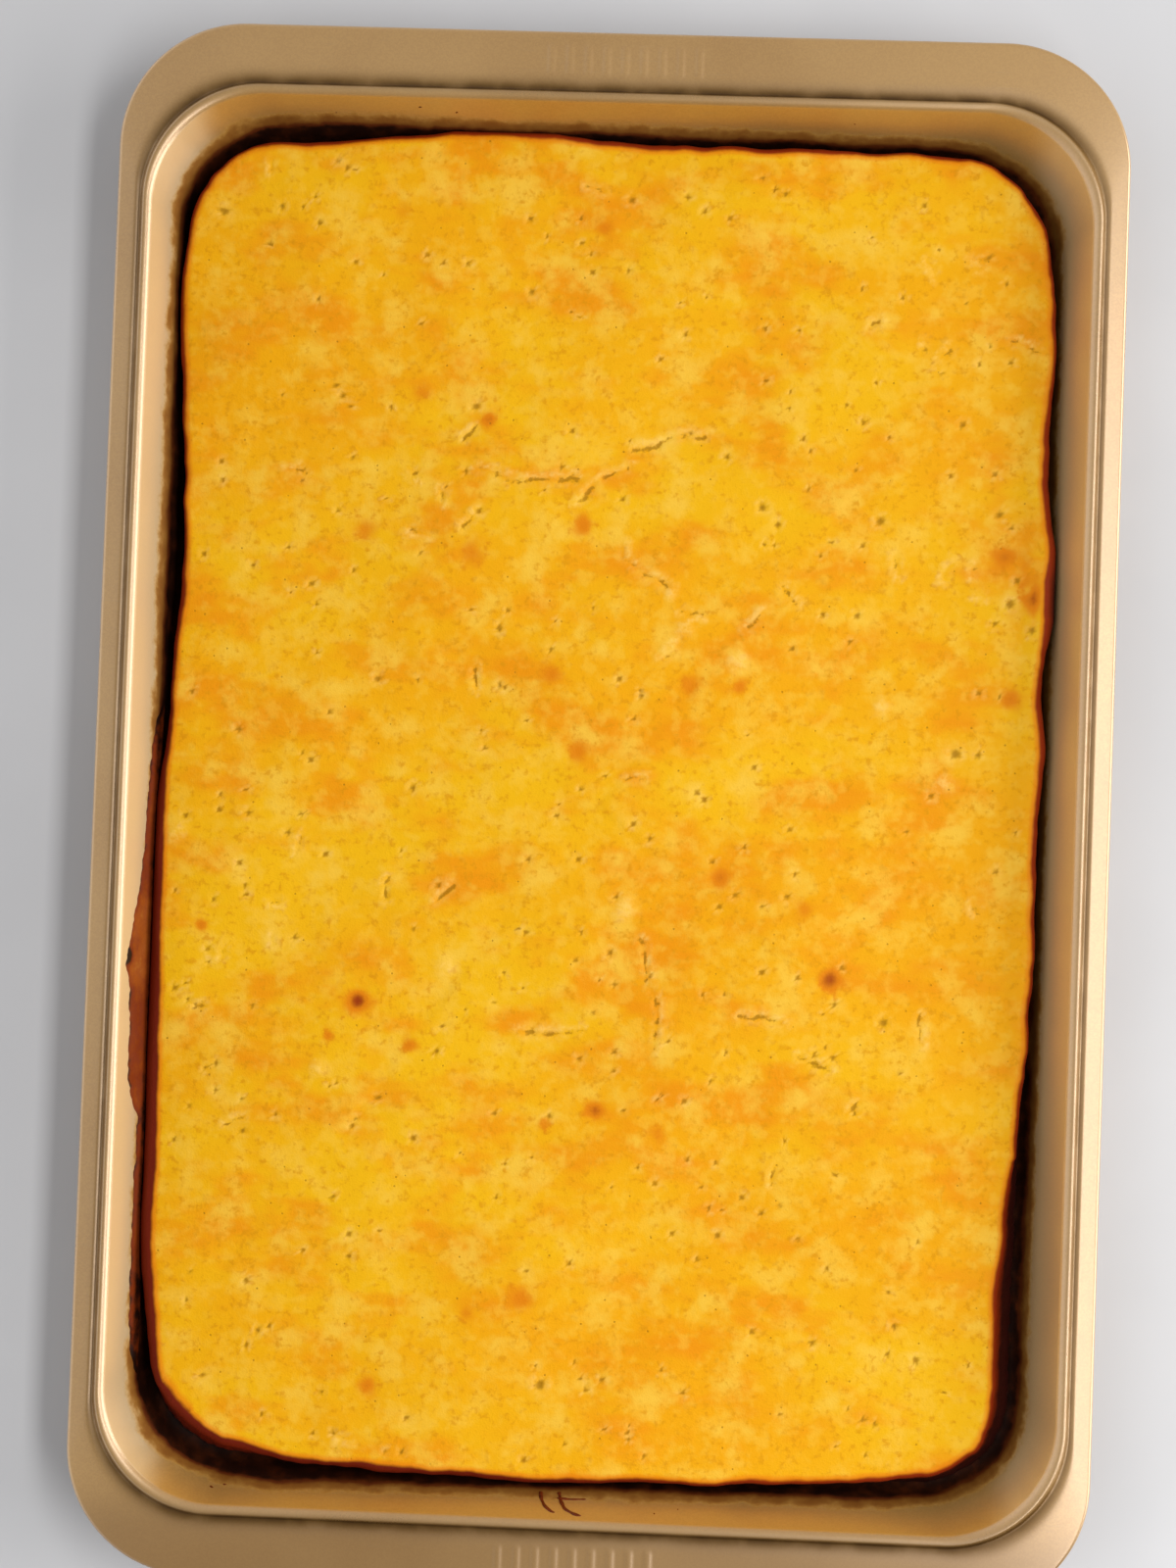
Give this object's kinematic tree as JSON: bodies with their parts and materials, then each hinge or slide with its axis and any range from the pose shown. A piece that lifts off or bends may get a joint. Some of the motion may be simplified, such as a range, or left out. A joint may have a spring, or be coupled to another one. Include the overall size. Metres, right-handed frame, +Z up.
{
  "type": "sheet pan pancake",
  "caption": "Thick golden oven-baked pancake filling its rimmed steel sheet pan, uncut, with a browned edge drawn a little back from the pan's leaning walls.",
  "frame": {"origin": "on the table under the middle of the pan", "axes": "+X across the pan, +Y along it towards one end flange, +Z up"},
  "size_m": [0.306, 0.469, 0.026],
  "materials": {
    "champagne_nonstick": "satin champagne gold non-stick coating on pressed steel",
    "baked_crust": "matt baked batter, golden yellow with soft browner patches and a red-brown rim"
  },
  "bodies": {
    "root": {"pan": "champagne_nonstick", "pancake": "baked_crust"}
  },
  "joints": []
}
